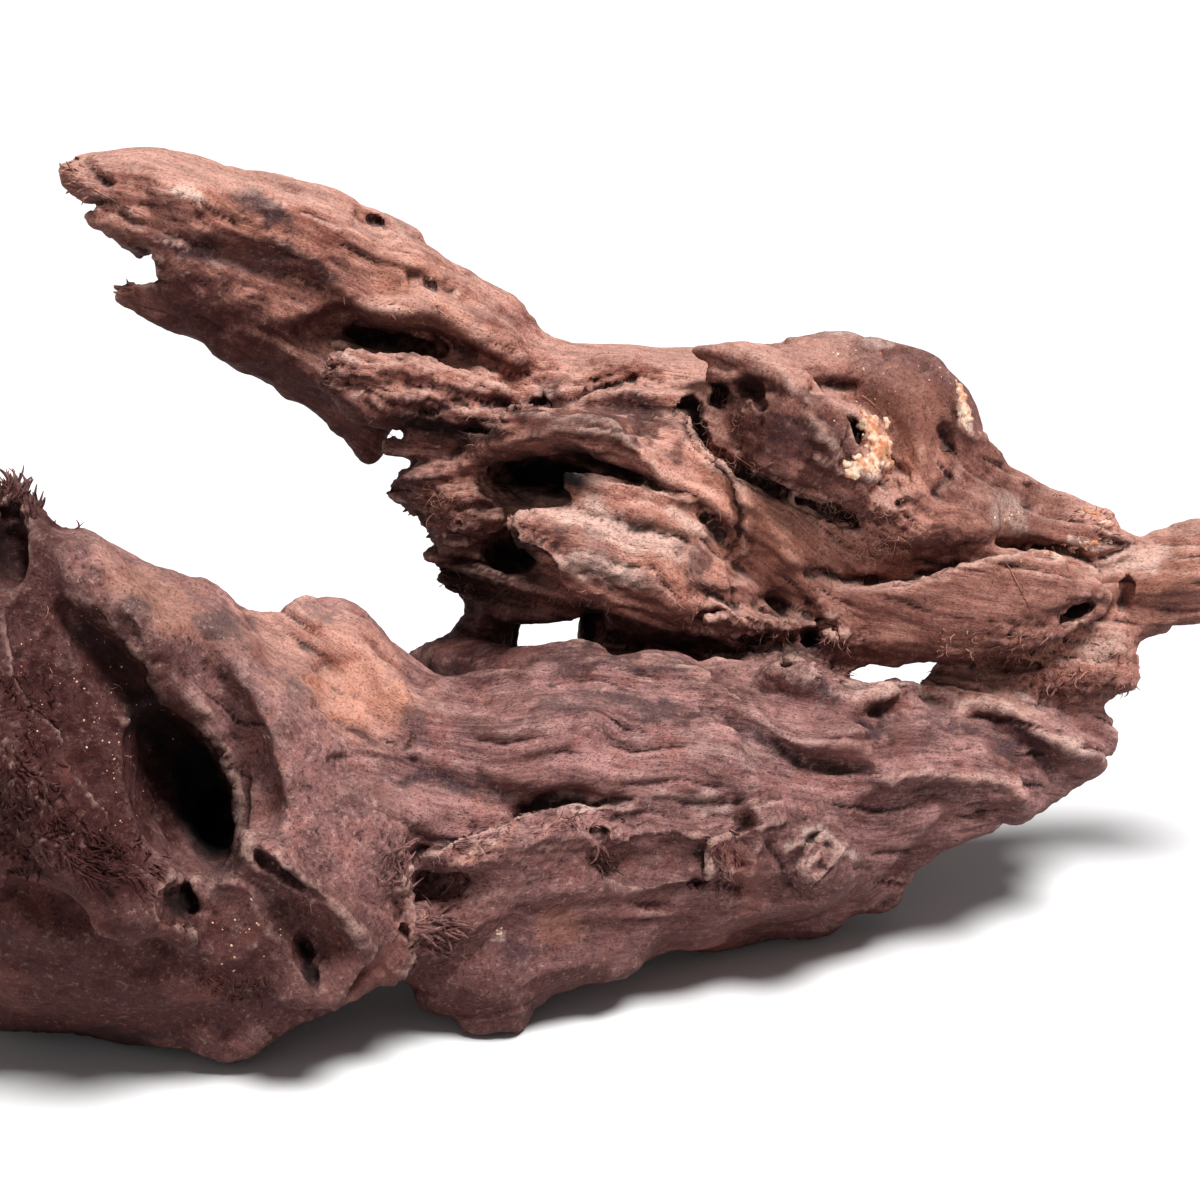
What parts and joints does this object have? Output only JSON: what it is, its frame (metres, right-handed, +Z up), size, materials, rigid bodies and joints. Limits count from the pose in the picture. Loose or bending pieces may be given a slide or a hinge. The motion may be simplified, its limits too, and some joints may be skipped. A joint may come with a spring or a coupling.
{
  "type": "ironwood piece",
  "caption": "Gnarled weathered ironwood: a thick trunk lies in front, a hollow limb rises behind it on short roots. Stands by itself as decor or a perch.",
  "frame": {"origin": "centre of the bounding box's underside, on the surface that the wood stands on", "axes": "+X from the thick torn end of the trunk to the thin branch, +Y from the trunk at the front to the rooted limb at the back, +Z up"},
  "size_m": [0.5232, 0.256, 0.2773],
  "materials": {
    "ironwood": "weathered, matt"
  },
  "bodies": {
    "root": {"ironwood_piece": "ironwood"}
  },
  "joints": []
}
